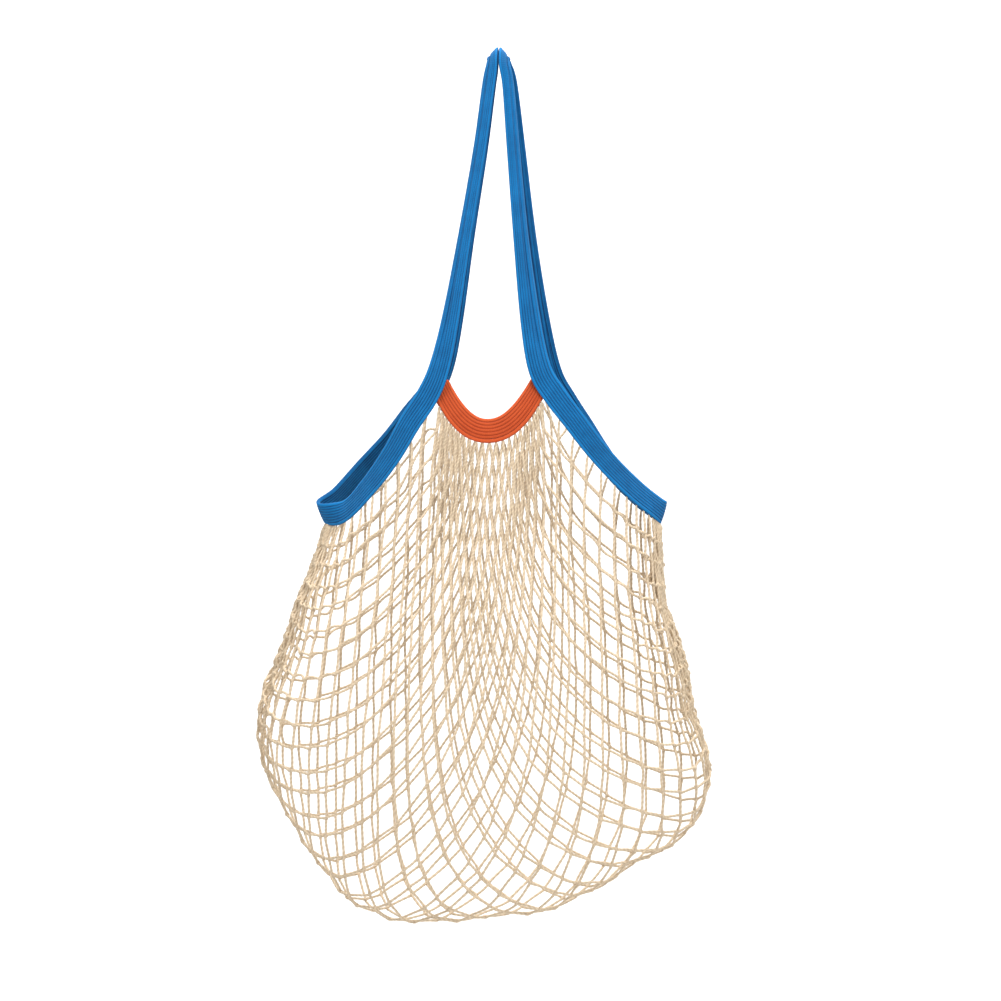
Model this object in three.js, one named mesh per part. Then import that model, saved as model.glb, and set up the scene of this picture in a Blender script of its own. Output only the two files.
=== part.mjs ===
// Cotton net shopping bag, hanging in its full form from two shoulder straps.
// Millimetres, +Z up, front towards -Y. The origin is where the straps hang.
import * as THREE from 'three';

// Knitted bands
const BAND_THICKNESS = 4;
const BAND_CHAMFER = 1.2;
const STRAP_STEPS = 6;

// Route of each strap's front half, from where it hangs to its turn at the side, one row for each bend
// of the band. The right strap's rows are mirrored, and each back half mirrors the front one.
// x, y, z: middle of the band. face: where its outside looks, 0 to the front and 90 to the left.
// lean: how far the outside looks up, in degrees. width: of the band, which narrows under load.
const LEFT_STRAP_ROWS = [
  { x: -5.45, y: 0, z: -6, face: 90, lean: 40, width: 14 },
  { x: -6.6, y: -7, z: -14, face: 48, lean: 24, width: 10.5 },
  { x: -8, y: -9.5, z: -30, face: 20, lean: 3, width: 9.5 },
  { x: -14.3, y: -17, z: -85, face: 18, lean: 0, width: 9 },
  { x: -25, y: -27, z: -160, face: 16, lean: 0, width: 9.5 },
  { x: -34.8, y: -36, z: -230, face: 12, lean: 0, width: 13 },
  { x: -42.8, y: -41, z: -272, face: 10, lean: 0, width: 16.5 },
  { x: -52, y: -42, z: -296, face: 10, lean: 4, width: 18.5 },
  { x: -67, y: -41, z: -320, face: 14, lean: 8, width: 18.5 },
  { x: -82, y: -36, z: -347, face: 24, lean: 10, width: 18.5 },
  { x: -101, y: -27, z: -374, face: 38, lean: 12, width: 18.5 },
  { x: -123.5, y: -15, z: -398, face: 62, lean: 0, width: 18.5 },
  { x: -145.5, y: 0, z: -400, face: 90, lean: -20, width: 19.5 },
];
const RIGHT_STRAP_ROWS = [
  { x: -5.45, y: 0, z: -6, face: 90, lean: 40, width: 14 },
  { x: -7, y: -7, z: -14, face: 48, lean: 24, width: 10.5 },
  { x: -9.2, y: -9.5, z: -30, face: 20, lean: 3, width: 8 },
  { x: -15.2, y: -17, z: -85, face: 18, lean: 0, width: 9 },
  { x: -23.5, y: -27, z: -160, face: 16, lean: 0, width: 11 },
  { x: -33, y: -36, z: -230, face: 12, lean: 0, width: 15.5 },
  { x: -42, y: -41, z: -272, face: 10, lean: 0, width: 18.5 },
  { x: -55, y: -42, z: -293.5, face: 10, lean: 4, width: 19 },
  { x: -71, y: -41, z: -314, face: 14, lean: 8, width: 18.5 },
  { x: -88, y: -36, z: -336, face: 24, lean: 10, width: 18.5 },
  { x: -105.5, y: -27, z: -356, face: 38, lean: 12, width: 19.5 },
  { x: -127.5, y: -15, z: -377, face: 62, lean: 2, width: 21 },
  { x: -149, y: 0, z: -394, face: 90, lean: -16, width: 19.5 },
];
// From this row on the strap binds the net's side edge, and before it the strap is free
const FIRST_BOUND_ROW = 7;

// How far the back strand of each strap hangs away from the front one, and where along it: a place of 1
// is halfway, and more is nearer to the turn
const LEFT_BACK_SHIFT = { x: -10.5, xPlace: 5, z: 11.5, zPlace: 5 };
const RIGHT_BACK_SHIFT = { x: -7.5, xPlace: 1.2, z: -10, zPlace: 2.5 };

// Mouth bands: each hangs in a bow between the straps, and its ends are sewn behind them. The back one
// hangs lower and is pulled narrower. x, z: lowest point of the bow, before the tilt, which lifts the
// right end. rise: of the ends over that point. narrowing: of the band, towards its ends.
const FRONT_MOUTH = {
  side: -1, x: 0.2, z: -325, halfSpan: 43, rise: 42, tilt: 2.5, width: 20, narrowing: 0.28,
};
const BACK_MOUTH = {
  side: 1, x: -1.6, z: -330.5, halfSpan: 50, rise: 47, tilt: 6, width: 17, narrowing: 0.5,
};
const MOUTH_RISE_POWER = 2.2;
const MOUTH_DEPTH = 45;
const MOUTH_TUCK = 11;
const MOUTH_LEAN = 14;
const MOUTH_STEPS = 24;
const MOUTH_BOUND_SHARE = 0.82;

// Net: cords along each edge of its square, whose front and back corners are cut off at the mouths,
// and the length of cord from one knot to the next
const CORDS = 44;
const MOUTH_CORDS = 20;
const CORD_LENGTH = 18.5;
const NET_WALL = 2.5;
const NET_SEAT_GAP = 0.6;
// The gathers close up towards the ends of the mouth and towards the turns at the sides
const MOUTH_GATHER = 1.15;
const SIDE_SPREAD = 2.2;
const SIDE_SHARPNESS = 3;
// The solid keeps each fourth cord, as a flat bar this wide in lengths of cord
const CORDS_PER_BAR = 4;
const BAR_HALF_WIDTH = 0.3;

// Filled form of the bag: outline radius seen from the front, at each hour from the right and up
const FILL_CENTRE_Z = -565;
const FILL_RADII = [180, 176, 186, 205, 194, 182, 192, 198, 204, 183, 182, 208];
const FILL_DEPTH_BELLY = 95;
const FILL_DEPTH_TOP = 50;
const FILL_BELLY_Z = -620;
const FILL_TAPER_HEIGHT = 280;
const FILL_TAPER_POWER = 1.5;
const FILL_ROUND_POWER = 2.6;
const FILL_CROWN_POWER = 2.2;

// Relaxing of the net onto the filled form
const RELAX_ROUNDS = 600;
const FIRST_SAG = 400;
const TENSION = 0.06;
const CLING = 0.25;
const CLING_FREE_CORDS = 3;
const CLING_FADE_CORDS = 6;
const LARGEST_PUSH = 8;

const ECRU = 0xe8d8bc;
const ORANGE = 0xe5632c;
const BLUE = 0x1c6fc2;

const radians = THREE.MathUtils.degToRad;
const clamp = THREE.MathUtils.clamp;

function catmullRom(before, start, end, after, t) {
  const slopeIn = (end - before) / 2;
  const slopeOut = (after - start) / 2;
  const cubic = 2 * start - 2 * end + slopeIn + slopeOut;
  const square = 3 * end - 3 * start - 2 * slopeIn - slopeOut;
  return cubic * t ** 3 + square * t ** 2 + slopeIn * t + start;
}

// Rows of a closed ring, filled in smoothly with a number of steps from each row to the next
function smoothRing(rows, steps) {
  const count = rows.length;
  const filled = [];
  rows.forEach((row, k) => {
    const before = rows[(k + count - 1) % count];
    const end = rows[(k + 1) % count];
    const after = rows[(k + 2) % count];
    for (let step = 0; step < steps; step += 1) {
      const mix = (key) => [key, catmullRom(before[key], row[key], end[key], after[key], step / steps)];
      filled.push(Object.fromEntries(Object.keys(row).map(mix)));
    }
  });
  return filled;
}

// Middle, directions and width of a band at each station of its route
function bandStation(row, along, side) {
  const face = radians(row.face) * side;
  const lean = radians(row.lean);
  const level = Math.cos(lean);
  const outward = new THREE.Vector3(-Math.sin(face) * level, -Math.cos(face) * level, Math.sin(lean));
  outward.addScaledVector(along, -outward.dot(along)).normalize();
  const inward = new THREE.Vector3().crossVectors(outward, along).multiplyScalar(side);
  return { middle: row.middle, inward, outward, width: row.width };
}

function strapStations(front, side, backShift) {
  const toBack = (row, k) => {
    const share = (place) => Math.sin(Math.PI * (k / (front.length - 1)) ** place);
    const x = row.x + backShift.x * share(backShift.xPlace);
    const z = row.z + backShift.z * share(backShift.zPlace);
    return { ...row, x, y: -row.y, z, face: 180 - row.face };
  };
  const back = front.map(toBack).slice(1, -1).reverse();
  const ring = smoothRing([...front, ...back], STRAP_STEPS);
  ring.forEach((row) => {
    row.middle = new THREE.Vector3(row.x * side, row.y, row.z);
  });
  return ring.map((row, k) => {
    const ahead = ring[(k + 1) % ring.length].middle;
    const behind = ring[(k + ring.length - 1) % ring.length].middle;
    return bandStation(row, ahead.clone().sub(behind).normalize(), side);
  });
}

function mouthStations(mouth) {
  const stations = [];
  for (let step = 0; step <= MOUTH_STEPS; step += 1) {
    const u = -1 + 2 * step / MOUTH_STEPS;
    const depth = mouth.side * (MOUTH_DEPTH - MOUTH_TUCK * u ** 4);
    const depthSlope = -4 * mouth.side * MOUTH_TUCK * u ** 3;
    const bow = mouth.rise * Math.abs(u) ** (MOUTH_RISE_POWER - 1);
    const riseSlope = MOUTH_RISE_POWER * bow * Math.sign(u) + mouth.tilt;
    const along = new THREE.Vector3(mouth.halfSpan, depthSlope, riseSlope).normalize();
    const x = mouth.x + u * mouth.halfSpan;
    const row = {
      middle: new THREE.Vector3(x, depth, mouth.z + bow * Math.abs(u) + mouth.tilt * u),
      face: mouth.side < 0 ? 0 : 180,
      lean: MOUTH_LEAN,
      width: mouth.width * (1 - mouth.narrowing * u ** 2),
    };
    stations.push({ ...bandStation(row, along, mouth.side), u });
  }
  return stations;
}

// Chamfered flat section of a band
function bandSection({ middle, inward, outward, width }) {
  const side = width / 2;
  const top = BAND_THICKNESS / 2;
  const corners = [
    [side - BAND_CHAMFER, top],
    [side, top - BAND_CHAMFER],
    [side, BAND_CHAMFER - top],
    [side - BAND_CHAMFER, -top],
    [BAND_CHAMFER - side, -top],
    [-side, BAND_CHAMFER - top],
    [-side, top - BAND_CHAMFER],
    [BAND_CHAMFER - side, top],
  ];
  return corners.map(([across, up]) => (
    middle.clone().addScaledVector(inward, across).addScaledVector(outward, up)
  ));
}

function closedGeometry(points, triangles) {
  const faces = triangles.flat();
  let volume = 0;
  triangles.forEach(([a, b, c]) => {
    volume += points[a].dot(new THREE.Vector3().crossVectors(points[b], points[c]));
  });
  if (volume < 0) {
    faces.reverse();
  }
  const geometry = new THREE.BufferGeometry();
  geometry.setFromPoints(points);
  geometry.setIndex(faces);
  geometry.computeVertexNormals();
  return geometry;
}

// Skin over a row of sections, joined up into a ring or closed with flat ends
function loft(sections, isRing) {
  const size = sections[0].length;
  const points = sections.flat();
  const triangles = [];
  const spans = isRing ? sections.length : sections.length - 1;
  for (let k = 0; k < spans; k += 1) {
    const here = k * size;
    const next = ((k + 1) % sections.length) * size;
    for (let m = 0; m < size; m += 1) {
      const n = (m + 1) % size;
      triangles.push([here + m, here + n, next + n], [here + m, next + n, next + m]);
    }
  }
  if (!isRing) {
    const last = (sections.length - 1) * size;
    for (let m = 1; m < size - 1; m += 1) {
      triangles.push([0, m + 1, m], [last, last + m, last + m + 1]);
    }
  }
  return closedGeometry(points, triangles);
}

// The line along a band's inner edge that the net is gathered on, with the band's outward direction
function boundEdge(stations) {
  const line = stations.map(({ middle, inward, outward, width }) => ({
    point: middle.clone().addScaledVector(inward, width / 2 + NET_SEAT_GAP),
    outward,
  }));
  line.forEach((place, k) => {
    const before = line[Math.max(k - 1, 0)];
    place.length = k === 0 ? 0 : before.length + place.point.distanceTo(before.point);
  });
  return line;
}

function pickAlong(line, share) {
  const target = share * line.at(-1).length;
  const found = line.findIndex(({ length }) => length >= target);
  const end = line[clamp(found, 1, line.length - 1)];
  const start = line[clamp(found, 1, line.length - 1) - 1];
  const t = (target - start.length) / (end.length - start.length);
  return {
    point: start.point.clone().lerp(end.point, t),
    outward: start.outward.clone().lerp(end.outward, t).normalize(),
  };
}

// A knot is a, b: its places along the two families of cords. a + b runs from the front mouth under
// the bag to the back mouth. Across is -1 at the left strap and 1 at the right one, and under is -1
// at the front mouth and 1 at the back one.
const BACK_SUM = 2 * CORDS - MOUTH_CORDS;
const isNet = (a, b) => a <= CORDS && b <= CORDS && a + b >= MOUTH_CORDS && a + b <= BACK_SUM;
const cordsFromEdge = (a, b) => Math.min(a, b, CORDS - a, CORDS - b, a + b - MOUTH_CORDS, BACK_SUM - a - b);
const isBound = (a, b) => cordsFromEdge(a, b) === 0;
const across = (a, b) => (a - b) / Math.min(a + b, 2 * CORDS - a - b);
const under = (a, b) => (a + b - CORDS) / (CORDS - MOUTH_CORDS);

function mouthShare(place) {
  return (1 + Math.sign(place) * (1 - (1 - Math.abs(place)) ** MOUTH_GATHER)) / 2;
}

// Evenly spread from the mouth on, and closed up at the turn
function sideShare(place) {
  const reached = (spread) => spread / (1 + spread ** SIDE_SHARPNESS) ** (1 / SIDE_SHARPNESS);
  const half = reached(SIDE_SPREAD * (1 - Math.abs(place))) / reached(SIDE_SPREAD) / 2;
  return place < 0 ? half : 1 - half;
}

function netLines(leftStrap, rightStrap, frontMouth, backMouth) {
  const first = FIRST_BOUND_ROW * STRAP_STEPS;
  const bound = (strap) => boundEdge(strap.slice(first, strap.length - first + 1));
  const between = (mouth) => boundEdge(mouth.filter(({ u }) => Math.abs(u) <= MOUTH_BOUND_SHARE));
  return {
    left: bound(leftStrap),
    right: bound(rightStrap),
    front: between(frontMouth),
    back: between(backMouth),
  };
}

// Place of a knot on the net's edge, and the band's outward direction there
function boundKnot({ left, right, front, back }, a, b) {
  if (a + b === MOUTH_CORDS) {
    return pickAlong(front, mouthShare(across(a, b)));
  }
  if (a + b === BACK_SUM) {
    return pickAlong(back, mouthShare(across(a, b)));
  }
  return pickAlong(a === 0 || b === CORDS ? left : right, sideShare(under(a, b)));
}

// First guess: a sheet between the four edges that sags in the middle
function saggingKnot({ left, right, front, back }, a, b) {
  const s = (1 + across(a, b)) / 2;
  const t = (1 + under(a, b)) / 2;
  const knot = new THREE.Vector3();
  knot.addScaledVector(pickAlong(left, sideShare(under(a, b))).point, 1 - s);
  knot.addScaledVector(pickAlong(right, sideShare(under(a, b))).point, s);
  knot.addScaledVector(pickAlong(front, mouthShare(across(a, b))).point, 1 - t);
  knot.addScaledVector(pickAlong(back, mouthShare(across(a, b))).point, t);
  knot.addScaledVector(left[0].point, (s - 1) * (1 - t));
  knot.addScaledVector(right[0].point, s * (t - 1));
  knot.addScaledVector(left.at(-1).point, (s - 1) * t);
  knot.addScaledVector(right.at(-1).point, -s * t);
  knot.z -= FIRST_SAG * Math.sqrt((1 - across(a, b) ** 2) * (1 - under(a, b) ** 2));
  return knot;
}

function forEachKnot(visit) {
  for (let a = 0; a <= CORDS; a += 1) {
    for (let b = 0; b <= CORDS; b += 1) {
      if (isNet(a, b)) {
        visit(a, b);
      }
    }
  }
}

function forEachInnerKnot(visit) {
  forEachKnot((a, b) => {
    if (!isBound(a, b)) {
      visit(a, b);
    }
  });
}

function fillRadius(angle) {
  const hours = FILL_RADII.length;
  const hour = ((angle / (2 * Math.PI)) * hours + hours) % hours;
  const k = Math.floor(hour);
  const at = (n) => FILL_RADII[(n + hours) % hours];
  return catmullRom(at(k - 1), at(k), at(k + 1), at(k + 2), hour - k);
}

// How far a point lies outside the filled form (inside is negative), and the way out
function fillLevel(point) {
  const up = point.z - FILL_CENTRE_Z;
  const reach = Math.max(Math.hypot(point.x, up), 1e-6);
  const radius = fillRadius(Math.atan2(up, point.x));
  const taper = clamp((point.z - FILL_BELLY_Z) / FILL_TAPER_HEIGHT, 0, 1) ** FILL_TAPER_POWER;
  const depth = FILL_DEPTH_BELLY + (FILL_DEPTH_TOP - FILL_DEPTH_BELLY) * taper;
  const round = reach / radius;
  const crown = Math.abs(point.y) / depth;
  const slope = FILL_ROUND_POWER * round ** (FILL_ROUND_POWER - 1) / radius;
  const wayOut = new THREE.Vector3(
    slope * point.x / reach,
    FILL_CROWN_POWER * crown ** (FILL_CROWN_POWER - 1) / depth * Math.sign(point.y),
    slope * up / reach,
  );
  return { level: round ** FILL_ROUND_POWER + crown ** FILL_CROWN_POWER - 1, wayOut };
}

function pullToNeighbours(knots) {
  const pulls = [];
  forEachInnerKnot((a, b) => {
    const mean = knots[a - 1][b].clone().add(knots[a + 1][b]);
    mean.add(knots[a][b - 1]).add(knots[a][b + 1]).multiplyScalar(0.25);
    pulls.push([knots[a][b], mean.sub(knots[a][b])]);
  });
  pulls.forEach(([knot, pull]) => knot.addScaledVector(pull, TENSION));
}

// A cord from one knot to the next may be slack, but not longer than it is
function keepCordLength(knots, a, b, c, d) {
  const cord = knots[c][d].clone().sub(knots[a][b]);
  const length = cord.length();
  const freeStart = isBound(a, b) ? 0 : 1;
  const freeEnd = isBound(c, d) ? 0 : 1;
  if (length > CORD_LENGTH && freeStart + freeEnd > 0) {
    cord.multiplyScalar((length - CORD_LENGTH) / length / (freeStart + freeEnd));
    knots[a][b].addScaledVector(cord, freeStart);
    knots[c][d].addScaledVector(cord, -freeEnd);
  }
}

function keepCordLengths(knots) {
  for (const [stepA, stepB] of [[1, 0], [0, 1]]) {
    for (const odd of [0, 1]) {
      forEachKnot((a, b) => {
        if ((stepA * a + stepB * b) % 2 === odd && isNet(a + stepA, b + stepB)) {
          keepCordLength(knots, a, b, a + stepA, b + stepB);
        }
      });
    }
  }
}

function layOnFill(knots) {
  forEachInnerKnot((a, b) => {
    const { level, wayOut } = fillLevel(knots[a][b]);
    const cling = CLING * clamp((cordsFromEdge(a, b) - CLING_FREE_CORDS) / CLING_FADE_CORDS, 0, 1);
    const push = -(level < 0 ? 1 : cling) * level / wayOut.lengthSq();
    wayOut.multiplyScalar(push).clampLength(0, LARGEST_PUSH);
    knots[a][b].add(wayOut);
  });
}

// Knots move until the cords have their length and the net lies on the filled form
function relaxedNet(lines) {
  const knots = Array.from({ length: CORDS + 1 }, () => []);
  forEachKnot((a, b) => {
    knots[a][b] = isBound(a, b) ? boundKnot(lines, a, b).point : saggingKnot(lines, a, b);
  });
  for (let round = 0; round < RELAX_ROUNDS; round += 1) {
    pullToNeighbours(knots);
    keepCordLengths(knots);
    layOnFill(knots);
  }
  return knots;
}

// Outward direction at each knot, taken from its neighbours, or from the band at the net's edge
function netOutward(knots, lines) {
  const outward = knots.map(() => []);
  forEachKnot((a, b) => {
    if (isBound(a, b)) {
      outward[a][b] = boundKnot(lines, a, b).outward;
    } else {
      const alongB = knots[a][b + 1].clone().sub(knots[a][b - 1]);
      const alongA = knots[a + 1][b].clone().sub(knots[a - 1][b]);
      outward[a][b] = alongB.cross(alongA).normalize();
    }
  });
  return outward;
}

// The pierced wall of the net
function netGeometry(knots, outward) {
  const points = [];
  const triangles = [];
  const numbers = new Map();

  const blend = (grid, a, b) => {
    const a0 = Math.floor(a);
    const b0 = Math.floor(b);
    const sum = new THREE.Vector3();
    for (const [da, db] of [[0, 0], [1, 0], [0, 1], [1, 1]]) {
      const weight = (da ? a - a0 : 1 - a + a0) * (db ? b - b0 : 1 - b + b0);
      if (weight > 0) {
        sum.addScaledVector(grid[a0 + da][b0 + db], weight);
      }
    }
    return sum;
  };

  // Number of the outer face's vertex at a, b; the inner face's vertex is the next one
  const vertex = ([a, b]) => {
    const key = `${a.toFixed(3)},${b.toFixed(3)}`;
    if (!numbers.has(key)) {
      numbers.set(key, points.length);
      const middle = blend(knots, a, b);
      const thick = blend(outward, a, b).normalize().multiplyScalar(NET_WALL / 2);
      points.push(middle.clone().add(thick), middle.clone().sub(thick));
    }
    return numbers.get(key);
  };
  const face = (p, q, r) => {
    triangles.push([p, q, r], [p + 1, r + 1, q + 1]);
  };
  const rim = (p, q) => {
    triangles.push([p, p + 1, q + 1], [p, q + 1, q]);
  };

  const bar = CORDS_PER_BAR;
  const corners = [[0, 0], [bar, 0], [bar, bar], [0, bar]];
  const between = (p, q, t) => [p[0] + (q[0] - p[0]) * t, p[1] + (q[1] - p[1]) * t];
  const isOnSide = (p, q) => [0, 1].some((k) => p[k] === q[k] && (p[k] === 0 || p[k] === CORDS));
  const inset = (place, low) => {
    const share = (bar - 2 * BAR_HALF_WIDTH) / bar;
    return [0, 1].map((k) => low[k] + BAR_HALF_WIDTH + (place[k] - low[k]) * share);
  };

  // A whole square of the net is a frame of bars round a gap, with a finer rim along a strap
  const frame = (low, square) => {
    const ring = square.flatMap((start, k) => {
      const end = square[(k + 1) % square.length];
      const isRim = isOnSide(start, end);
      const steps = isRim ? bar : bar / 2;
      return Array.from({ length: steps }, (_, step) => {
        const place = between(start, end, step / steps);
        return { outer: vertex(place), inner: vertex(inset(place, low)), isRim };
      });
    });
    ring.forEach((here, k) => {
      const next = ring[(k + 1) % ring.length];
      face(here.outer, next.outer, next.inner);
      face(here.outer, next.inner, here.inner);
      rim(next.inner, here.inner);
      if (here.isRim) {
        rim(here.outer, next.outer);
      }
    });
  };

  // A half square at the mouth is left whole, where the gathers are sewn into the band
  const gathered = ([start, apex, end]) => {
    const hem = Array.from({ length: bar - 1 }, (_, k) => vertex(between(end, start, (k + 1) / bar)));
    const ring = [
      vertex(start),
      vertex(between(start, apex, 0.5)),
      vertex(apex),
      vertex(between(apex, end, 0.5)),
      vertex(end),
      ...hem,
    ];
    const heart = vertex(between(apex, between(start, end, 0.5), 0.5));
    ring.forEach((here, k) => face(here, ring[(k + 1) % ring.length], heart));
    const edge = [...ring.slice(4), ring[0]];
    edge.slice(1).forEach((next, k) => rim(edge[k], next));
  };

  for (let a = 0; a < CORDS; a += bar) {
    for (let b = 0; b < CORDS; b += bar) {
      const square = corners.map(([da, db]) => [a + da, b + db]);
      const inside = square.map((corner) => isNet(...corner));
      const count = inside.filter(Boolean).length;
      if (count === 4) {
        frame([a, b], square);
      } else if (count === 3) {
        const out = inside.indexOf(false);
        gathered([1, 2, 3].map((k) => square[(out + k) % 4]));
      }
    }
  }
  return closedGeometry(points, triangles);
}

function piece(name, geometry, color) {
  const material = new THREE.MeshStandardMaterial({ color, roughness: 0.9, metalness: 0 });
  const mesh = new THREE.Mesh(geometry, material);
  mesh.name = name;
  return mesh;
}

const leftStrap = strapStations(LEFT_STRAP_ROWS, 1, LEFT_BACK_SHIFT);
const rightStrap = strapStations(RIGHT_STRAP_ROWS, -1, RIGHT_BACK_SHIFT);
const frontMouth = mouthStations(FRONT_MOUTH);
const backMouth = mouthStations(BACK_MOUTH);
const lines = netLines(leftStrap, rightStrap, frontMouth, backMouth);
const knots = relaxedNet(lines);

const bag = new THREE.Group();
bag.add(piece('net_body', netGeometry(knots, netOutward(knots, lines)), ECRU));
bag.add(piece('front_mouth_band', loft(frontMouth.map(bandSection), false), ORANGE));
bag.add(piece('back_mouth_band', loft(backMouth.map(bandSection), false), ORANGE));
bag.add(piece('left_strap', loft(leftStrap.map(bandSection), true), BLUE));
bag.add(piece('right_strap', loft(rightStrap.map(bandSection), true), BLUE));

export default bag;
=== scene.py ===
from collections import namedtuple

import bpy
import numpy as np
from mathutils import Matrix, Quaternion, Vector


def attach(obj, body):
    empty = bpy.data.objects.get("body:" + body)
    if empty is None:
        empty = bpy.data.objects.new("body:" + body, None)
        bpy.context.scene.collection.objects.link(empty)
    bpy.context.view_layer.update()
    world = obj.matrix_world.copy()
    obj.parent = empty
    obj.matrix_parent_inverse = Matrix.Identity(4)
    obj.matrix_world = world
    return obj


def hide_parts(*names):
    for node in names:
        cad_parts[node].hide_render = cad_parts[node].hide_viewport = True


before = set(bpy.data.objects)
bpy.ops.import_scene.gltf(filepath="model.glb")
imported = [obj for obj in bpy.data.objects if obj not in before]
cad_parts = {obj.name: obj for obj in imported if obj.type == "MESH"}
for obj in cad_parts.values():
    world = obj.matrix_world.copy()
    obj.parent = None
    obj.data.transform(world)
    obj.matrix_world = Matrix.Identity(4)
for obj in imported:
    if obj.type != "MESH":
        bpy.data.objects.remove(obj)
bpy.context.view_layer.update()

# Shoulder straps: each is one closed loop of ribbed knitted cotton band, dyed blue. Its lower part is
# folded over the cord ends of the net's side edges and sewn down. Its upper part hangs free as the shoulder
# strap, which the load pulls narrow, so that its edges curl back and a crease runs along it.

# One row for each bend of a strap's front half, from where it hangs to its turn at the side, in metres and
# degrees; the right strap's rows are mirrored. x, y, z: middle of the band. face: where its outside looks,
# 0 to the front and 90 to the left. lean: how far the outside looks up. curl: how far the edges bend back.
# crease: depth of the fold along the band.
BandRow = namedtuple("BandRow", "x y z face lean width curl crease")
LEFT_STRAP_ROWS = [
    BandRow(-0.005, 0.0, -0.006, 90, 40, 0.015, 0, 0.001),
    BandRow(-0.0054, -0.007, -0.014, 48, 24, 0.0113, 0.0014, 0.0016),
    BandRow(-0.008, -0.0095, -0.03, 20, 3, 0.0095, 0.003, 0.0022),
    BandRow(-0.0143, -0.017, -0.085, 18, 0, 0.009, 0.0034, 0.0026),
    BandRow(-0.025, -0.027, -0.16, 16, 0, 0.0095, 0.0034, 0.0026),
    BandRow(-0.0348, -0.036, -0.23, 12, 0, 0.013, 0.0026, 0.0018),
    BandRow(-0.0428, -0.041, -0.272, 10, 0, 0.0165, 0.0014, 0.0006),
    BandRow(-0.052, -0.042, -0.296, 10, 4, 0.0185, 0.0006, 0),
    BandRow(-0.067, -0.041, -0.32, 14, 8, 0.0185, 0.0006, 0),
    BandRow(-0.082, -0.036, -0.347, 24, 10, 0.0185, 0.0006, 0),
    BandRow(-0.101, -0.027, -0.374, 38, 12, 0.0185, 0.0006, 0),
    BandRow(-0.1235, -0.015, -0.398, 62, 0, 0.0185, 0.0006, 0),
    BandRow(-0.1455, 0.0, -0.4, 90, -20, 0.0195, 0.0006, 0),
]
RIGHT_STRAP_ROWS = [
    BandRow(-0.005, 0.0, -0.006, 90, 40, 0.015, 0, 0.001),
    BandRow(-0.0054, -0.007, -0.014, 48, 24, 0.0113, 0.0014, 0.0016),
    BandRow(-0.0092, -0.0095, -0.03, 20, 3, 0.008, 0.003, 0.0022),
    BandRow(-0.0152, -0.017, -0.085, 18, 0, 0.009, 0.0034, 0.0026),
    BandRow(-0.0235, -0.027, -0.16, 16, 0, 0.011, 0.0034, 0.0026),
    BandRow(-0.033, -0.036, -0.23, 12, 0, 0.0155, 0.0026, 0.0018),
    BandRow(-0.042, -0.041, -0.272, 10, 0, 0.0185, 0.0014, 0.0006),
    BandRow(-0.055, -0.042, -0.2935, 10, 4, 0.019, 0.0006, 0),
    BandRow(-0.071, -0.041, -0.314, 14, 8, 0.0185, 0.0006, 0),
    BandRow(-0.088, -0.036, -0.336, 24, 10, 0.0185, 0.0006, 0),
    BandRow(-0.1055, -0.027, -0.356, 38, 12, 0.0195, 0.0006, 0),
    BandRow(-0.1275, -0.015, -0.377, 62, 2, 0.021, 0.0006, 0),
    BandRow(-0.149, 0.0, -0.394, 90, -16, 0.0195, 0.0006, 0),
]
# From this row on the strap binds the net's side edge, and before it the strap is free
FIRST_BOUND_ROW = 7
# How far the back strand of each strap hangs away from the front one, and where along it: a place of 1 is
# halfway, and more is nearer to the turn
BackShift = namedtuple("BackShift", "x x_place z z_place")
LEFT_BACK_SHIFT = BackShift(-0.0105, 5, 0.0115, 5)
RIGHT_BACK_SHIFT = BackShift(-0.0075, 1.2, -0.010, 2.5)
STEPS_PER_ROW = 24
STRAP_RIBS = 8
GRID_STEPS_PER_RIB = 3
STRAP_LENGTHWISE_STEPS = 250
BAND_THICKNESS = 0.0034
RIB_HEIGHT = 0.0007
CURL_POWER = 2.2
CREASE_PLACE = -0.3
CREASE_WIDTH = 0.16
SEAM_MERGE_DISTANCE = 1e-5
STITCH_LENGTH = 0.0015
# Knit colours: the crest's blue, and a darker blue painted into the grooves as painted shade
STRAP_BLUE = (0.006, 0.172, 0.450, 1)
STRAP_BLUE_PAINTED_GROOVE_SHADE = (0.001, 0.018, 0.075, 1)


def unit(vectors):
    return vectors / np.linalg.norm(vectors, axis=-1, keepdims=True)


def smooth_between(before, start, end, after, t):
    slope_in = (end - before) / 2
    slope_out = (after - start) / 2
    cubic = 2 * start - 2 * end + slope_in + slope_out
    square = 3 * end - 3 * start - 2 * slope_in - slope_out
    return cubic * t**3 + square * t**2 + slope_in * t + start


def strap_route(front, shift):
    """Rows of the whole loop, the back half mirrored from the front one, filled in smoothly."""
    back = []
    for k, row in enumerate(front):
        place = k / (len(front) - 1)
        x = row.x + shift.x * np.sin(np.pi * place**shift.x_place)
        z = row.z + shift.z * np.sin(np.pi * place**shift.z_place)
        back.append(row._replace(x=x, y=-row.y, z=z, face=180 - row.face))
    rows = np.array(front + back[-2:0:-1])
    t = (np.arange(STEPS_PER_ROW) / STEPS_PER_ROW)[None, :, None]
    neighbours = [np.roll(rows, places, axis=0)[:, None, :] for places in (1, 0, -1, -2)]
    return smooth_between(*neighbours, t).reshape(-1, rows.shape[1])


def facing(face, lean, along):
    """The direction that a band's outside looks in, square to the band."""
    face, lean = np.radians(face), np.radians(lean)
    outward = np.stack([-np.sin(face) * np.cos(lean), -np.cos(face) * np.cos(lean), np.sin(lean)], axis=1)
    return unit(outward - (outward * along).sum(axis=1, keepdims=True) * along)


Band = namedtuple("Band", "middle inward outward width curl crease")


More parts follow.
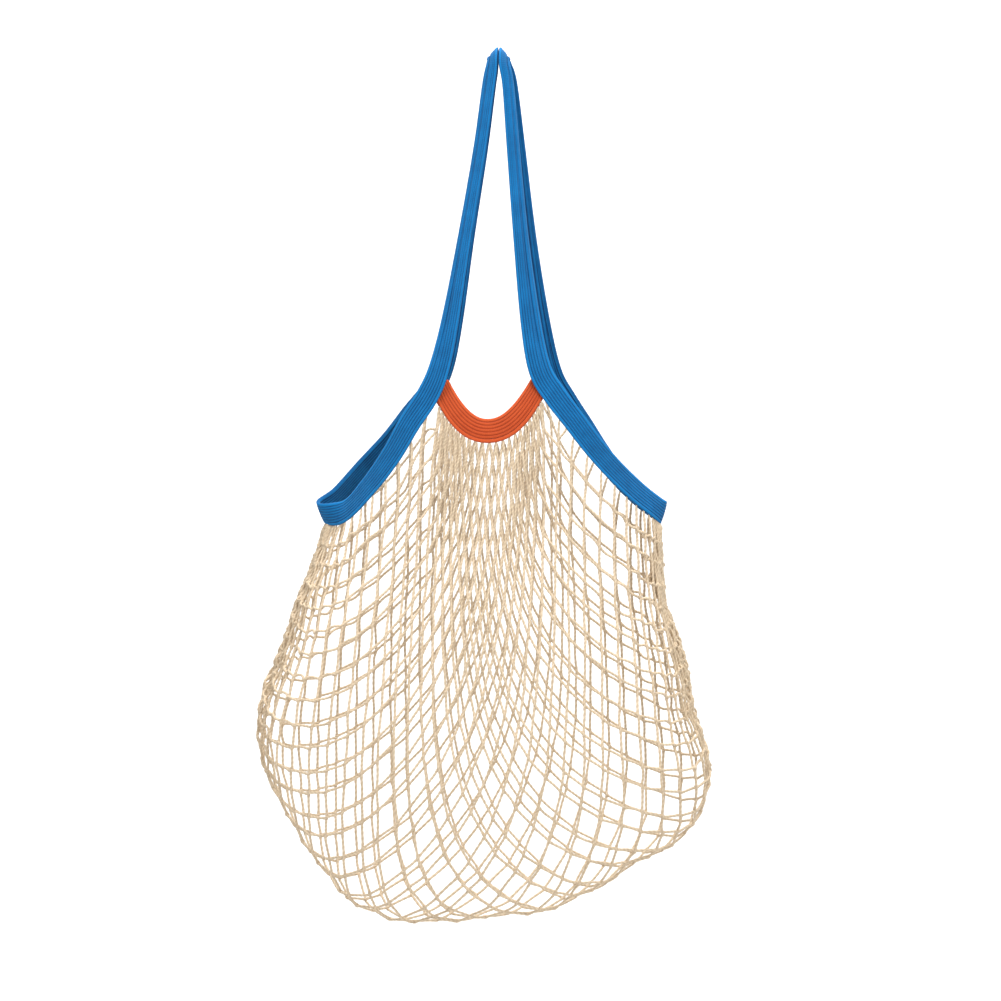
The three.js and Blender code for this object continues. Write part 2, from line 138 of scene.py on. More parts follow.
def strap_band(route, side):
    x, y, z, face, lean, width, curl, crease = route.T
    middle = np.stack([x * side, y, z], axis=1)
    along = unit(np.roll(middle, -1, axis=0) - np.roll(middle, 1, axis=0))
    outward = facing(face * side, lean, along)
    inward = np.cross(outward, along) * side
    return Band(middle, inward, outward, width, curl, crease)


def evenly_placed(band, shares, is_ring):
    """The band's columns at these shares of its length."""
    columns = np.column_stack(band)
    if is_ring:
        columns = np.vstack([columns, columns[:1]])
    steps = np.linalg.norm(np.diff(columns[:, :3], axis=0), axis=1)
    lengths = np.append(0, np.cumsum(steps))
    placed = np.stack([np.interp(shares * lengths[-1], lengths, column) for column in columns.T], axis=1)
    middle, inward, outward, plain = np.split(placed, (3, 6, 9), axis=1)
    return Band(middle, unit(inward), unit(outward), *plain.T), lengths[-1]


def knitted_band(name, band, ribs, lengthwise_steps, is_ring, crease_place, crease_width):
    """A flat grid laid on the band's route, ribbed, curled and creased, then given its thickness."""
    bpy.ops.object.select_all(action="DESELECT")
    bpy.ops.mesh.primitive_grid_add(
        x_subdivisions=ribs * GRID_STEPS_PER_RIB, y_subdivisions=lengthwise_steps, size=2
    )
    piece = bpy.context.active_object
    piece.name = piece.data.name = name
    flat = np.empty(len(piece.data.vertices) * 3)
    piece.data.vertices.foreach_get("co", flat)
    across, along = flat.reshape(-1, 3)[:, :2].T
    placed, length = evenly_placed(band, (along + 1) / 2, is_ring)
    rib = np.abs(np.sin(np.pi * ribs * (across + 1) / 2))
    crease = np.exp(-((across - crease_place) / crease_width) ** 2)
    height = RIB_HEIGHT * rib - placed.curl * np.abs(across) ** CURL_POWER - placed.crease * crease
    points = placed.middle + placed.inward * (across * placed.width / 2)[:, None]
    points += placed.outward * height[:, None]
    piece.data.vertices.foreach_set("co", points.ravel())
    piece.data.uv_layers[0].name = "knit"
    if is_ring:
        bpy.ops.object.mode_set(mode="EDIT")
        bpy.ops.mesh.select_all(action="SELECT")
        bpy.ops.mesh.remove_doubles(threshold=SEAM_MERGE_DISTANCE)
        bpy.ops.object.mode_set(mode="OBJECT")
    wall = piece.modifiers.new("wall", "SOLIDIFY")
    wall.thickness = BAND_THICKNESS
    wall.offset = 0
    rounding = piece.modifiers.new("rounding", "SUBSURF")
    rounding.levels = rounding.render_levels = 1
    bpy.ops.object.modifier_apply(modifier=wall.name)
    bpy.ops.object.modifier_apply(modifier=rounding.name)
    bpy.ops.object.shade_smooth()
    return piece, length


def add_node(tree, kind, inputs, **settings):
    """A node with its settings, and with its inputs linked or set by name or number."""
    made = tree.nodes.new(kind)
    for name, value in settings.items():
        setattr(made, name, value)
    for key, value in inputs.items():
        if isinstance(value, bpy.types.NodeSocket):
            tree.links.new(value, made.inputs[key])
        else:
            made.inputs[key].default_value = value
    return made


def calculate(tree, operation, *values):
    return add_node(tree, "ShaderNodeMath", dict(enumerate(values)), operation=operation).outputs[0]


def mix_colours(tree, share, first, second):
    inputs = {0: share, 6: first, 7: second}
    return add_node(tree, "ShaderNodeMix", inputs, data_type="RGBA").outputs[2]


def clamped(tree, value):
    return add_node(tree, "ShaderNodeClamp", {0: value}).outputs[0]


def noise(tree, spot, scale, detail):
    inputs = {"Vector": spot, "Scale": scale, "Detail": detail}
    return add_node(tree, "ShaderNodeTexNoise", inputs).outputs[0]


# Knit pattern: relief is 1 on a rib's crest, and a shade of 1 is the crest's colour; low relief is painted
# shade
STITCH_SLANT = 0.8
STITCH_RELIEF = 0.35
SEAM_SHARPNESS = 14
SEAM_DEPTH = 0.4
# How much lighter the hems are painted: a painted highlight on the rolled edges
HEM_SHARPNESS = 20
HEM_PAINTED_HIGHLIGHT = 0.3
FIBRE_SCALE = 2600
FIBRE_RELIEF = 0.35
FIBRE_SHADE = 0.4
PATCH_SCALE = 70
PATCH_SHADE = 0.5
RELIEF_PAINTED_SHADE = 0.8
FIRST_SHADE = -0.35


def rib_knit_group():
    """Rows of V-shaped stitches along each rib, with the outermost ribs turned over into hems. Grooves and
    the seam line are painted darker, painted shade, and the hems lighter, a painted highlight.
    """
    tree = bpy.data.node_groups.new("rib_knit", "ShaderNodeTree")
    inputs = {"Place": "Vector", "Ribs": "Float", "Stitches": "Float", "Crest": "Color", "PaintedGrooveShade": "Color"}
    for name, kind in inputs.items():
        tree.interface.new_socket(name, in_out="INPUT", socket_type="NodeSocket" + kind)
    tree.interface.new_socket("Colour", in_out="OUTPUT", socket_type="NodeSocketColor")
    tree.interface.new_socket("Height", in_out="OUTPUT", socket_type="NodeSocketFloat")
    given = tree.nodes.new("NodeGroupInput").outputs
    place = add_node(tree, "ShaderNodeSeparateXYZ", {0: given["Place"]}).outputs
    from_crest = calculate(tree, "FRACT", calculate(tree, "MULTIPLY", place["X"], given["Ribs"]))
    from_crest = calculate(tree, "ABSOLUTE", calculate(tree, "MULTIPLY_ADD", from_crest, 2, -1))
    stitch = calculate(tree, "MULTIPLY", place["Y"], given["Stitches"])
    stitch = calculate(tree, "FRACT", calculate(tree, "MULTIPLY_ADD", from_crest, STITCH_SLANT, stitch))
    leg = calculate(tree, "SINE", calculate(tree, "MULTIPLY", stitch, np.pi))
    leg = calculate(tree, "MULTIPLY_ADD", leg, STITCH_RELIEF, 1 - STITCH_RELIEF)
    rib = calculate(tree, "SUBTRACT", 1, calculate(tree, "POWER", from_crest, 2))
    relief = calculate(tree, "MULTIPLY", leg, rib)
    from_middle = calculate(tree, "ABSOLUTE", calculate(tree, "MULTIPLY_ADD", place["X"], 2, -1))
    past_seam = calculate(tree, "ADD", from_middle, calculate(tree, "DIVIDE", 2, given["Ribs"]))
    past_seam = calculate(tree, "SUBTRACT", past_seam, 1)
    hem = clamped(tree, calculate(tree, "MULTIPLY_ADD", past_seam, HEM_SHARPNESS, 0.5))
    beside_seam = calculate(tree, "ABSOLUTE", past_seam)
    seam = clamped(tree, calculate(tree, "MULTIPLY_ADD", beside_seam, -SEAM_SHARPNESS, 1))
    relief = calculate(tree, "MULTIPLY_ADD", seam, -SEAM_DEPTH, relief)
    spot = add_node(tree, "ShaderNodeTexCoord", {}).outputs["Object"]
    fibre = noise(tree, spot, FIBRE_SCALE, 2)
    patch = noise(tree, spot, PATCH_SCALE, 3)
    # The hems are painted lighter: a painted highlight on their rolled edges
    shade = calculate(tree, "MULTIPLY_ADD", hem, HEM_PAINTED_HIGHLIGHT, FIRST_SHADE)
    shade = calculate(tree, "MULTIPLY_ADD", patch, PATCH_SHADE, shade)
    shade = calculate(tree, "MULTIPLY_ADD", fibre, FIBRE_SHADE, shade)
    # Low relief, in the grooves between ribs and stitches and along the seam line, is painted darker:
    # painted shade
    shade = clamped(tree, calculate(tree, "MULTIPLY_ADD", relief, RELIEF_PAINTED_SHADE, shade))
    colour = mix_colours(tree, shade, given["PaintedGrooveShade"], given["Crest"])
    height = calculate(tree, "MULTIPLY_ADD", fibre, FIBRE_RELIEF, relief)
    add_node(tree, "NodeGroupOutput", {"Colour": colour, "Height": height})
    return tree


RIB_KNIT = rib_knit_group()


def knitted_cotton(name, ribs, stitches, crest, painted_groove_shade):
    material = bpy.data.materials.new(name)
    material.use_nodes = True
    tree = material.node_tree
    shader = tree.nodes["Principled BSDF"]
    place = add_node(tree, "ShaderNodeUVMap", {}, uv_map="knit").outputs[0]
    inputs = {"Place": place, "Ribs": ribs, "Stitches": stitches, "Crest": crest, "PaintedGrooveShade": painted_groove_shade}
    knit = add_node(tree, "ShaderNodeGroup", inputs, node_tree=RIB_KNIT).outputs
    inputs = {"Height": knit["Height"], "Strength": 0.8, "Distance": 0.0006}
    bump = add_node(tree, "ShaderNodeBump", inputs).outputs[0]
    tree.links.new(knit["Colour"], shader.inputs["Base Color"])
    tree.links.new(bump, shader.inputs["Normal"])
    shader.inputs["Roughness"].default_value = 0.85
    shader.inputs["Sheen Weight"].default_value = 0.06
    shader.inputs["Specular IOR Level"].default_value = 0.15
    return material


straps = {}
for name, rows, shift, side in (
    ("left_strap", LEFT_STRAP_ROWS, LEFT_BACK_SHIFT, 1),
    ("right_strap", RIGHT_STRAP_ROWS, RIGHT_BACK_SHIFT, -1),
):
    straps[name] = strap_band(strap_route(rows, shift), side)
    strap, length = knitted_band(
        name + "_knit", straps[name], STRAP_RIBS, STRAP_LENGTHWISE_STEPS,
        is_ring=True, crease_place=CREASE_PLACE, crease_width=CREASE_WIDTH,
    )
    stitches = round(length / STITCH_LENGTH)
    strap.data.materials.append(
        knitted_cotton(name + "_blue_knit", STRAP_RIBS, stitches, STRAP_BLUE, STRAP_BLUE_PAINTED_GROOVE_SHADE)
    )
    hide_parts(name)
    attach(strap, "root")

# Mouth bands: one short band of the same ribbed knit on the front edge of the net and one on the back edge,
# dyed orange. Each is folded over the gathered cord ends, hangs in a bow and is sewn behind the two straps.

# x, z: lowest point of the bow, before the tilt, which lifts the right end. rise: of the ends over that
# point. narrowing: of the band, towards its ends. The back one hangs lower and is pulled narrower.
MouthRow = namedtuple("MouthRow", "name side x z half_span rise tilt width narrowing")
MOUTH_ROWS = [
    MouthRow("front_mouth_band", -1, 0.0002, -0.3250, 0.0430, 0.0420, 0.0025, 0.020, 0.28),
    MouthRow("back_mouth_band", 1, -0.0016, -0.3300, 0.0500, 0.0470, 0.0080, 0.017, 0.56),
]
MOUTH_RISE_POWER = 2.2
MOUTH_DEPTH = 0.045
MOUTH_TUCK = 0.011
MOUTH_TUCK_POWER = 4
MOUTH_LEAN = 14
MOUTH_CURL = 0.0008
MOUTH_SEAM = 0.0008
SEAM_PLACE = 0.68
SEAM_WIDTH = 0.07
MOUTH_RIBS = 7
MOUTH_STATIONS = 97
MOUTH_LENGTHWISE_STEPS = 40
# Knit colours: the crest's orange, and a darker orange painted into the grooves as painted shade
MOUTH_ORANGE = (0.570, 0.088, 0.023, 1)
MOUTH_ORANGE_PAINTED_GROOVE_SHADE = (0.270, 0.026, 0.006, 1)


def mouth_band(row):
    u = np.linspace(-1, 1, MOUTH_STATIONS)
    depth = row.side * (MOUTH_DEPTH - MOUTH_TUCK * u**MOUTH_TUCK_POWER)
    height = row.z + row.rise * np.abs(u) ** MOUTH_RISE_POWER + row.tilt * u
    middle = np.stack([row.x + u * row.half_span, depth, height], axis=1)
    along = unit(np.gradient(middle, axis=0))
    face = 0 if row.side < 0 else 180
    outward = facing(np.full(u.size, face), np.full(u.size, MOUTH_LEAN), along)
    inward = np.cross(outward, along) * row.side
    width = row.width * (1 - row.narrowing * u**2)
    return Band(middle, inward, outward, width, np.full(u.size, MOUTH_CURL), np.full(u.size, MOUTH_SEAM))


mouths = {}
for row in MOUTH_ROWS:
    mouths[row.name] = mouth_band(row)
    mouth, length = knitted_band(
        row.name + "_knit", mouths[row.name], MOUTH_RIBS, MOUTH_LENGTHWISE_STEPS,
        is_ring=False, crease_place=SEAM_PLACE, crease_width=SEAM_WIDTH,
    )
    stitches = round(length / STITCH_LENGTH)
    mouth.data.materials.append(
        knitted_cotton(row.name + "_orange_knit", MOUTH_RIBS, stitches, MOUTH_ORANGE, MOUTH_ORANGE_PAINTED_GROOVE_SHADE)
    )
    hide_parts(row.name)
    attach(mouth, "root")

# Net: undyed two-ply cotton cord, linked where it crosses into a square net. The net hangs by two corners
# at the turns of the straps, which bind its four edges, and its front and back corners are cut off and
# gathered in the mouth bands. It hangs in the form that a full load gives it.
CORDS = 44
MOUTH_CORDS = 20
CORD_LENGTH = 0.0185
NET_SEAT_GAP = 0.0006
MOUTH_BOUND_SHARE = 0.82
SIDE_SPREAD = 3.1
SIDE_SHARPNESS = 4

# Filled form: its outline's radius in millimetres seen from the front, every 15 degrees, from the right
# over the top and round. Its depth goes from the belly to the narrower top.
FILL_CENTRE_Z = -0.565
FILL_RADII_MM = [
    179, 175, 176, 180, 186, 197, 205, 201, 194, 191, 186, 182,
    194, 199, 196, 200, 207, 196, 183, 184, 184, 187, 205, 202,
]
FILL_RADII = np.array(FILL_RADII_MM) / 1000
FILL_DEPTH_BELLY = 0.095
FILL_DEPTH_TOP = 0.050
FILL_BELLY_Z = -0.620
FILL_TAPER_HEIGHT = 0.280
FILL_TAPER_POWER = 1.5
FILL_ROUND_POWER = 2.6
FILL_CROWN_POWER = 2.2

# Relaxing of the net onto the filled form
RELAX_ROUNDS = 600
FIRST_SAG = 0.400
TENSION = 0.06
CLING = 0.25
CLING_FREE_CORDS = 3
CLING_FADE_CORDS = 6
LARGEST_PUSH = 0.008
KNOT_UNEVENNESS = 0.0004
UNEVENNESS_SEED = 7
# Least length that is divided by
TINY = 1e-9

# A knot is a, b: its places along the two families of cords. a + b runs from the front mouth under the bag
# to the back mouth. Across is -1 at the left strap and 1 at the right one, and under is -1 at the front
# mouth and 1 at the back one.
a, b = np.meshgrid(np.arange(CORDS + 1), np.arange(CORDS + 1), indexing="ij")
BACK_SUM = 2 * CORDS - MOUTH_CORDS
across = (a - b) / np.clip(np.minimum(a + b, 2 * CORDS - a - b), 1, None)
under = np.clip((a + b - CORDS) / (CORDS - MOUTH_CORDS), -1, 1)
cords_from_edge = np.min([a, b, CORDS - a, CORDS - b, a + b - MOUTH_CORDS, BACK_SUM - a - b], axis=0)
free = (cords_from_edge > 0).astype(float)[..., None]


def bound_edge(band, kept):
    """Columns along a band's inner edge: the place, the band's outside there, and the way into the band."""
    reach = band.width / 2 + NET_SEAT_GAP
    place = band.middle + band.inward * reach[:, None] - band.outward * band.curl[:, None]
    return np.column_stack([place, band.outward, -band.inward])[kept]


def picked(edge, shares):
    lengths = np.append(0, np.cumsum(np.linalg.norm(np.diff(edge[:, :3], axis=0), axis=1)))
    return np.stack([np.interp(shares * lengths[-1], lengths, column) for column in edge.T], axis=-1)


def side_share(place):
    """Evenly spread from the mouth on, and closed up at the turn."""
    spread = SIDE_SPREAD * (1 - np.abs(place))
    half = spread / (1 + spread**SIDE_SHARPNESS) ** (1 / SIDE_SHARPNESS)
    half *= (1 + SIDE_SPREAD**-SIDE_SHARPNESS) ** (1 / SIDE_SHARPNESS) / 2
    return np.where(place < 0, half, 1 - half)


first_bound_step = FIRST_BOUND_ROW * STEPS_PER_ROW
side_kept = slice(first_bound_step, len(straps["left_strap"].width) - first_bound_step + 1)
mouth_kept = np.abs(np.linspace(-1, 1, MOUTH_STATIONS)) <= MOUTH_BOUND_SHARE
mouth_shares = (1 + across) / 2
left_edge = bound_edge(straps["left_strap"], side_kept)
right_edge = bound_edge(straps["right_strap"], side_kept)
left, right = picked(left_edge, side_share(under)), picked(right_edge, side_share(under))
front = picked(bound_edge(mouths["front_mouth_band"], mouth_kept), mouth_shares)
back = picked(bound_edge(mouths["back_mouth_band"], mouth_kept), mouth_shares)

# First guess: a sheet between the four edges that sags in the middle
s, t = (1 + across[..., None]) / 2, (1 + under[..., None]) / 2
sheet = (1 - s) * left + s * right + (1 - t) * front + t * back
sheet -= (1 - t) * ((1 - s) * left_edge[0] + s * right_edge[0])
sheet -= t * ((1 - s) * left_edge[-1] + s * right_edge[-1])
sheet[..., 2] -= FIRST_SAG * np.sqrt((1 - across**2) * (1 - under**2))
for on_edge, columns in (
    ((a == 0) | (b == CORDS), left),
    ((b == 0) | (a == CORDS), right),
    (a + b == MOUTH_CORDS, front),
    (a + b == BACK_SUM, back),
):
    sheet[on_edge] = columns[on_edge]
knots, normals, into_band = np.split(sheet, 3, axis=-1)


def fill_level(points):
    """How far points lie outside the filled form, inside being negative, and the way out."""
    x, y, z = np.moveaxis(points, -1, 0)
    up = z - FILL_CENTRE_Z
    reach = np.maximum(np.hypot(x, up), TINY)
    count = FILL_RADII.size
    place = (np.arctan2(up, x) / (2 * np.pi) * count) % count
    k = np.floor(place).astype(int)
    radius = smooth_between(*(FILL_RADII[(k + n) % count] for n in (-1, 0, 1, 2)), place - k)
    taper = np.clip((z - FILL_BELLY_Z) / FILL_TAPER_HEIGHT, 0, 1) ** FILL_TAPER_POWER
    depth = FILL_DEPTH_BELLY + (FILL_DEPTH_TOP - FILL_DEPTH_BELLY) * taper
    crown = np.abs(y) / depth
    slope = FILL_ROUND_POWER * (reach / radius) ** (FILL_ROUND_POWER - 1) / radius
    crown_slope = FILL_CROWN_POWER * crown ** (FILL_CROWN_POWER - 1) / depth * np.sign(y)
    level = (reach / radius) ** FILL_ROUND_POWER + crown**FILL_CROWN_POWER - 1
    return level, np.stack([slope * x / reach, crown_slope, slope * up / reach], axis=-1)


def keep_cord_length(knots, start, end):
    """A cord from one knot to the next may be slack, but not longer than it is."""
    cord = knots[end] - knots[start]
    length = np.maximum(np.linalg.norm(cord, axis=-1, keepdims=True), TINY)
    cord *= np.maximum(length - CORD_LENGTH, 0) / length / np.maximum(free[start] + free[end], 1)
    knots[start] += cord * free[start]
    knots[end] -= cord * free[end]


def relaxed(knots):
    """Knots move until the cords have their length and the net lies on the filled form."""
    cling = CLING * np.clip((cords_from_edge - CLING_FREE_CORDS) / CLING_FADE_CORDS, 0, 1)
    inner, every = slice(1, -1), slice(None)
    even, after_even = slice(0, -1, 2), slice(1, None, 2)
    odd, after_odd = slice(1, -1, 2), slice(2, None, 2)
    for _ in range(RELAX_ROUNDS):
        mean = (knots[:-2, inner] + knots[2:, inner] + knots[inner, :-2] + knots[inner, 2:]) / 4
        knots[inner, inner] += TENSION * (mean - knots[inner, inner]) * free[inner, inner]
        for start, end in ((even, after_even), (odd, after_odd)):
            keep_cord_length(knots, (start, every), (end, every))
            keep_cord_length(knots, (every, start), (every, end))
        level, way_out = fill_level(knots)
        push = -np.where(level < 0, 1, cling) * level / np.maximum((way_out**2).sum(axis=-1), TINY)
        way_out *= push[..., None] * free
        size = np.maximum(np.linalg.norm(way_out, axis=-1, keepdims=True), TINY)
        knots += way_out * np.minimum(1, LARGEST_PUSH / size)
    return knots


rng = np.random.default_rng(UNEVENNESS_SEED)
knots = relaxed(knots.copy())
knots += rng.normal(scale=KNOT_UNEVENNESS, size=knots.shape) * free
inner_a, inner_b = np.nonzero(cords_from_edge > 0)
along_a = knots[inner_a + 1, inner_b] - knots[inner_a - 1, inner_b]
along_b = knots[inner_a, inner_b + 1] - knots[inner_a, inner_b - 1]
normals = normals.copy()
normals[inner_a, inner_b] = unit(np.cross(along_b, along_a))
backward = np.zeros_like(knots)
backward[inner_a, inner_b] = unit(along_a + along_b)

# The cord: two plies twisted together. Where two cords cross they run together for a short way, one over
# the other. A cord bows where the gathers leave it slack, and its ends are tucked into the bands.
CORD_RADIUS = 0.0011
CORD_SIDES = 6
LINK_STEPS = 3
OPEN_STEPS = 13
PLIES = 2
PLY_RELIEF = 0.16
LINK_HALF_LENGTH = 0.0014
LINK_HALF_WIDTH = 0.0004
LINK_LIFT = 0.0005
LINK_SWELL = 0.18
LINK_FADE = 0.12
END_TUCK = 0.003
END_SLIMMING = 0.3
SLACK_BOW = 0.45
LEAST_BOW = 0.0004
LARGEST_BOW = 0.0045
BOW_OUTWARD = 1.2
# A cord bows in by one share, or out by two
BOW_SHARES = [-1, 2]
SMOOTHING_ROUNDS = 2
# Cord colours: ecru, and a darker ecru painted into the grooves between the plies as painted shade
CORD_ECRU = (0.800, 0.660, 0.485, 1)
CORD_ECRU_PAINTED_GROOVE_SHADE = (0.430, 0.315, 0.190, 1)
CORD_FIBRE_SCALE = 2200
CORD_FIBRE_SHADE = 0.7
CORD_PATCH_SCALE = 45
CORD_PATCH_SHADE = 0.5
PLY_PAINTED_SHADE = 0.55
CORD_FIRST_SHADE = -0.3


def filled_in(pairs):
    """Steps along each pair, and on from it to the next pair."""
    link = np.arange(LINK_STEPS)[None, :, None] / LINK_STEPS
    rest = np.arange(OPEN_STEPS)[None, :, None] / OPEN_STEPS
    links = pairs[:, :1] + (pairs[:, 1:] - pairs[:, :1]) * link
    opens = pairs[:-1, 1:] + (pairs[1:, :1] - pairs[:-1, 1:]) * rest
    steps = np.concatenate([links[:-1], opens], axis=1).reshape(-1, pairs.shape[2])
    return np.vstack([steps, links[-1], pairs[-1, 1:]])


def link_share(count):
    """1 in the links of a cord with this many knots, fading out along the open cord."""
    from_link = np.minimum(np.arange(OPEN_STEPS), OPEN_STEPS - np.arange(OPEN_STEPS)) / OPEN_STEPS
    share = np.append(np.ones(LINK_STEPS), np.exp(-((from_link / LINK_FADE) ** 2)))
    return np.append(np.tile(share, count - 1), np.ones(LINK_STEPS + 1))


def cord_tube(a, b, family):
    """Rings of one cord through its knots. The family is 1 where a goes up along it, and -1 where b does."""
    knot, normal, warp = knots[a, b], normals[a, b], backward[a, b]
    half_link = LINK_HALF_LENGTH * warp + family * LINK_HALF_WIDTH * np.cross(normal, warp)
    lift = LINK_LIFT * family * np.where((a + b) % 2, -1, 1)[:, None] * normal * free[a, b]
    pairs = np.stack([knot + lift - half_link, knot + lift + half_link], axis=1)
    for k, outer in ((0, 0), (-1, 1)):
        pairs[k, outer] += into_band[a[k], b[k]] * END_TUCK
    middle = filled_in(pairs)
    outward = filled_in(np.stack([normal, normal], axis=1))
    swell = LINK_SWELL * free[a, b]
    swell[[0, -1]] = -END_SLIMMING
    sizes = np.stack([swell, swell], axis=1)
    radius = CORD_RADIUS * (1 + filled_in(sizes)[:, 0] * link_share(len(a)))

    chord = np.linalg.norm(np.diff(knot, axis=0), axis=1)
    slack = np.clip(CORD_LENGTH / np.maximum(chord, TINY) - 1, 0, None)
    bow = np.clip(SLACK_BOW * chord * np.sqrt(slack) * 2 / np.pi, LEAST_BOW, LARGEST_BOW)
    way = rng.normal(size=(len(chord), 3))
    way += BOW_OUTWARD * normal[:-1] * rng.choice(BOW_SHARES, size=(len(chord), 1))
    run = np.diff(knot, axis=0) / np.maximum(chord, TINY)[:, None]
    way = unit(way - (way * run).sum(axis=1, keepdims=True) * run) * bow[:, None]
    share = np.append(np.zeros(LINK_STEPS), np.sin(np.pi * np.arange(OPEN_STEPS) / OPEN_STEPS))
    bows = (way[:, None] * share[None, :, None]).reshape(-1, 3)
    middle[: len(bows)] += bows
    for _ in range(SMOOTHING_ROUNDS):
        middle[1:-1] = (middle[:-2] + 2 * middle[1:-1] + middle[2:]) / 4

    tangent = unit(np.gradient(middle, axis=0))
    outward = unit(outward - (outward * tangent).sum(axis=1, keepdims=True) * tangent)
    beside = np.cross(tangent, outward)
    angle = np.arange(CORD_SIDES) * 2 * np.pi / CORD_SIDES
    turn = np.arange(len(middle)) * 2 * np.pi / CORD_SIDES
    ply = np.cos(PLIES * (angle[None] - turn[:, None]))
    cosine, sine = np.cos(angle)[None, :, None], np.sin(angle)[None, :, None]
    ring = cosine * outward[:, None] + sine * beside[:, None]
    points = middle[:, None] + ring * (radius[:, None] * (1 + PLY_RELIEF * ply))[..., None]
    # The ply value, 1 on a ply's crest, also drives the painted shade in the grooves between the plies
    return points.reshape(-1, 3), (ply.ravel() + 1) / 2


def cord_faces(rings, base):
    start = base + np.arange(rings - 1)[:, None] * CORD_SIDES
    here = start + np.arange(CORD_SIDES)
    beside = start + (np.arange(CORD_SIDES) + 1) % CORD_SIDES
    sides = np.stack([here, beside, beside + CORD_SIDES, here + CORD_SIDES], axis=-1)
    first_end = (base + np.arange(CORD_SIDES)[::-1]).tolist()
    last_end = (base + (rings - 1) * CORD_SIDES + np.arange(CORD_SIDES)).tolist()
    return sides.reshape(-1, 4).tolist() + [first_end, last_end]


def ecru_cord():
    material = bpy.data.materials.new("ecru_cord")
    material.use_nodes = True
    tree = material.node_tree
    shader = tree.nodes["Principled BSDF"]
    ply = add_node(tree, "ShaderNodeAttribute", {}, attribute_name="ply").outputs["Fac"]
    spot = add_node(tree, "ShaderNodeTexCoord", {}).outputs["Object"]
    fibre = noise(tree, spot, CORD_FIBRE_SCALE, 3)
    patch = noise(tree, spot, CORD_PATCH_SCALE, 2)
    shade = calculate(tree, "MULTIPLY_ADD", patch, CORD_PATCH_SHADE, CORD_FIRST_SHADE)
    shade = calculate(tree, "MULTIPLY_ADD", fibre, CORD_FIBRE_SHADE, shade)
    # The grooves between the plies are painted darker: painted shade
    shade = clamped(tree, calculate(tree, "MULTIPLY_ADD", ply, PLY_PAINTED_SHADE, shade))
    colour = mix_colours(tree, shade, CORD_ECRU_PAINTED_GROOVE_SHADE, CORD_ECRU)
    inputs = {"Height": fibre, "Strength": 0.6, "Distance": 0.0004}
    bump = add_node(tree, "ShaderNodeBump", inputs).outputs[0]
    tree.links.new(colour, shader.inputs["Base Color"])
    tree.links.new(bump, shader.inputs["Normal"])
    shader.inputs["Roughness"].default_value = 0.9
    shader.inputs["Sheen Weight"].default_value = 0.15
    shader.inputs["Specular IOR Level"].default_value = 0.2
    return material


cord_material = ecru_cord()
for direction, family in (("leftward", -1), ("rightward", 1)):
    for half, numbers in (("first", range(1, CORDS // 2)), ("second", range(CORDS // 2, CORDS))):
        points, plies, faces, count = [], [], [], 0
        for number in numbers:
            moving = np.arange(max(0, MOUTH_CORDS - number), min(CORDS, BACK_SUM - number) + 1)
            still = np.full(moving.size, number)
            places = (moving, still) if family > 0 else (still, moving)
            tube, ply = cord_tube(*places, family)
            faces += cord_faces(len(tube) // CORD_SIDES, count)
            count += len(tube)
            points.append(tube)
            plies.append(ply)
        name = f"net_cords_{direction}_{half}"
        mesh = bpy.data.meshes.new(name)
        mesh.from_pydata(np.vstack(points).tolist(), [], faces)
        mesh.shade_smooth()
        # The ply attribute carries the painted shade between the plies
        mesh.attributes.new("ply", "FLOAT", "POINT").data.foreach_set("value", np.concatenate(plies))
        mesh.materials.append(cord_material)
        cords = bpy.data.objects.new(name, mesh)
        bpy.context.collection.objects.link(cords)
        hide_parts("net_body")
        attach(cords, "root")

# Studio: a floor of white paper that curves up into a backdrop, under soft area lamps. The camera stands
# in front of the bag and a little above its middle, a touch to the right.
FLOOR_Z = -1.5
FLOOR_HALF_SIZE = 5.0
BACKDROP_Y = 2.6
BACKDROP_CURVE = 1.2
BACKDROP_SEGMENTS = 24
EDGE_MARGIN = 0.01
FLOOR_WHITE = (0.93, 0.93, 0.93, 1)
AIR_WHITE = (1, 1, 1, 1)
AIR_STRENGTH = 0.27

bpy.ops.object.select_all(action="DESELECT")
floor_middle = (0, BACKDROP_Y - FLOOR_HALF_SIZE, FLOOR_Z)
bpy.ops.mesh.primitive_plane_add(size=2 * FLOOR_HALF_SIZE, location=floor_middle)
floor = bpy.context.active_object
floor.name = "studio_floor"
bpy.ops.object.transform_apply(location=True, rotation=False, scale=False)
for polygon in floor.data.polygons:
    polygon.select = False
for vertex in floor.data.vertices:
    vertex.select = vertex.co.y > BACKDROP_Y - EDGE_MARGIN
for edge in floor.data.edges:
    edge.select = all(floor.data.vertices[end].select for end in edge.vertices)
bpy.ops.object.mode_set(mode="EDIT")
bpy.ops.mesh.select_mode(type="EDGE")
bpy.ops.mesh.extrude_region_move(TRANSFORM_OT_translate={"value": (0, 0, FLOOR_HALF_SIZE)})
bpy.ops.object.mode_set(mode="OBJECT")
curve = floor.modifiers.new("curve", "BEVEL")
curve.width = BACKDROP_CURVE
curve.segments = BACKDROP_SEGMENTS
curve.limit_method = "ANGLE"
bpy.ops.object.modifier_apply(modifier=curve.name)
bpy.ops.object.shade_smooth()
paper = bpy.data.materials.new("studio_paper")
paper.use_nodes = True
paper_shader = paper.node_tree.nodes["Principled BSDF"]
paper_shader.inputs["Base Color"].default_value = FLOOR_WHITE
paper_shader.inputs["Roughness"].default_value = 0.95
floor.data.materials.append(paper)

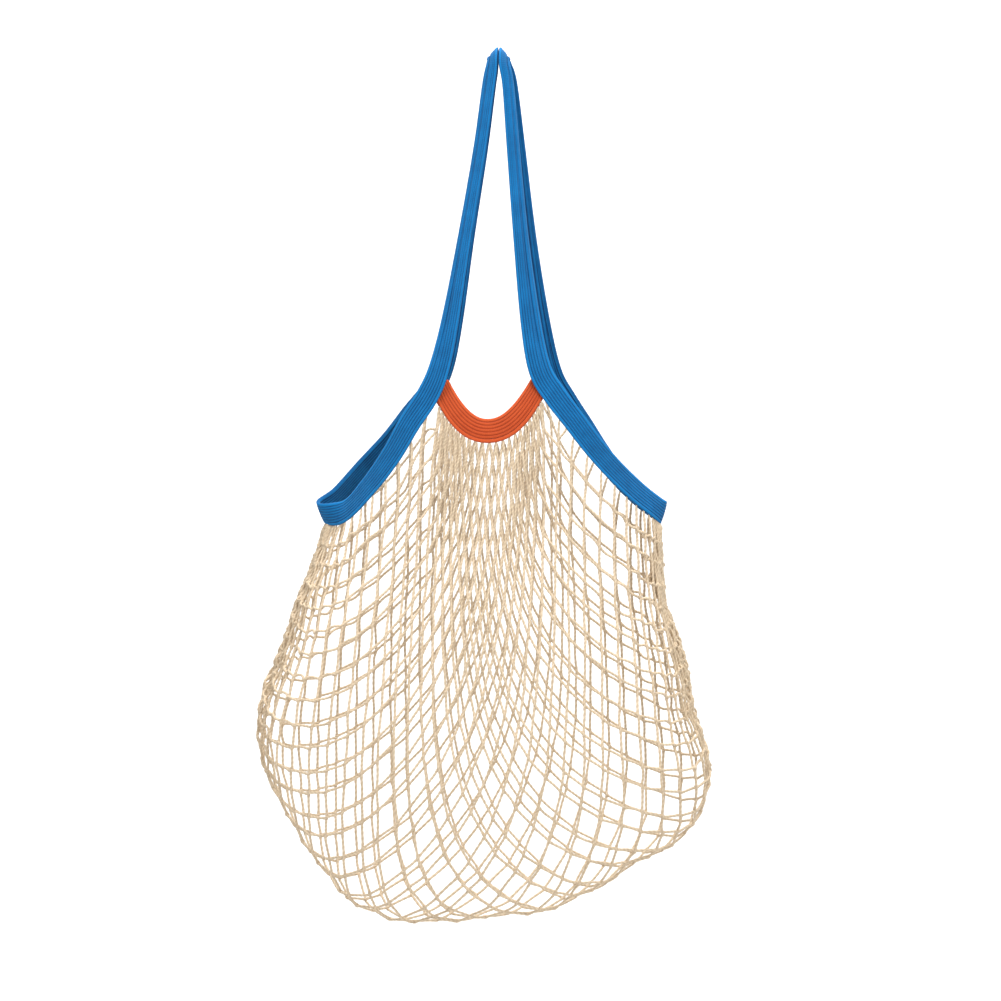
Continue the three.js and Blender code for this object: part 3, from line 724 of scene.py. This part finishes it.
world = bpy.data.worlds.new("studio_air")
world.use_nodes = True
air = world.node_tree.nodes["Background"]
air.inputs["Color"].default_value = AIR_WHITE
air.inputs["Strength"].default_value = AIR_STRENGTH
bpy.context.scene.world = world
bpy.context.scene.view_settings.view_transform = "Standard"

# Three lamps light the bag, and one behind it the backdrop
Lamp = namedtuple("Lamp", "name place target size watts")
BAG_MIDDLE = Vector((0, 0, -0.42))
LAMPS = [
    Lamp("key_lamp", Vector((0.8, -1.9, 0.7)), BAG_MIDDLE, 0.9, 36),
    Lamp("fill_lamp", Vector((-1.3, -1.5, 0.8)), BAG_MIDDLE, 1.4, 21),
    Lamp("top_lamp", Vector((0.1, 0.0, 1.5)), BAG_MIDDLE, 1.2, 36),
    Lamp("backdrop_lamp", Vector((0, 0.9, 1.4)), Vector((0, BACKDROP_Y, -0.4)), 2.0, 56),
]
for row in LAMPS:
    bpy.ops.object.light_add(type="AREA", location=row.place)
    lamp = bpy.context.active_object
    lamp.name = row.name
    lamp.rotation_euler = (row.target - row.place).to_track_quat("-Z", "Y").to_euler()
    lamp.data.size = row.size
    lamp.data.energy = row.watts

CAMERA_AZIMUTH = 2.5
CAMERA_ELEVATION = 4.0
CAMERA_ROLL = 1.15
CAMERA_DISTANCE = 2.4
CAMERA_TARGET = Vector((0.0092, 0, -0.3866))
FRAME_WIDTH = 0.8609
SENSOR_MM = 36

azimuth, elevation = np.radians(CAMERA_AZIMUTH), np.radians(CAMERA_ELEVATION)
away = Vector((
    np.cos(elevation) * np.sin(azimuth), -np.cos(elevation) * np.cos(azimuth), np.sin(elevation)
))
bpy.ops.object.camera_add(location=CAMERA_TARGET + away * CAMERA_DISTANCE)
camera = bpy.context.active_object
camera.name = "photo_camera"
roll = Quaternion((0, 0, 1), np.radians(CAMERA_ROLL))
camera.rotation_euler = ((-away).to_track_quat("-Z", "Y") @ roll).to_euler()
camera.data.sensor_width = SENSOR_MM
camera.data.lens = SENSOR_MM * CAMERA_DISTANCE / FRAME_WIDTH
bpy.context.scene.camera = camera
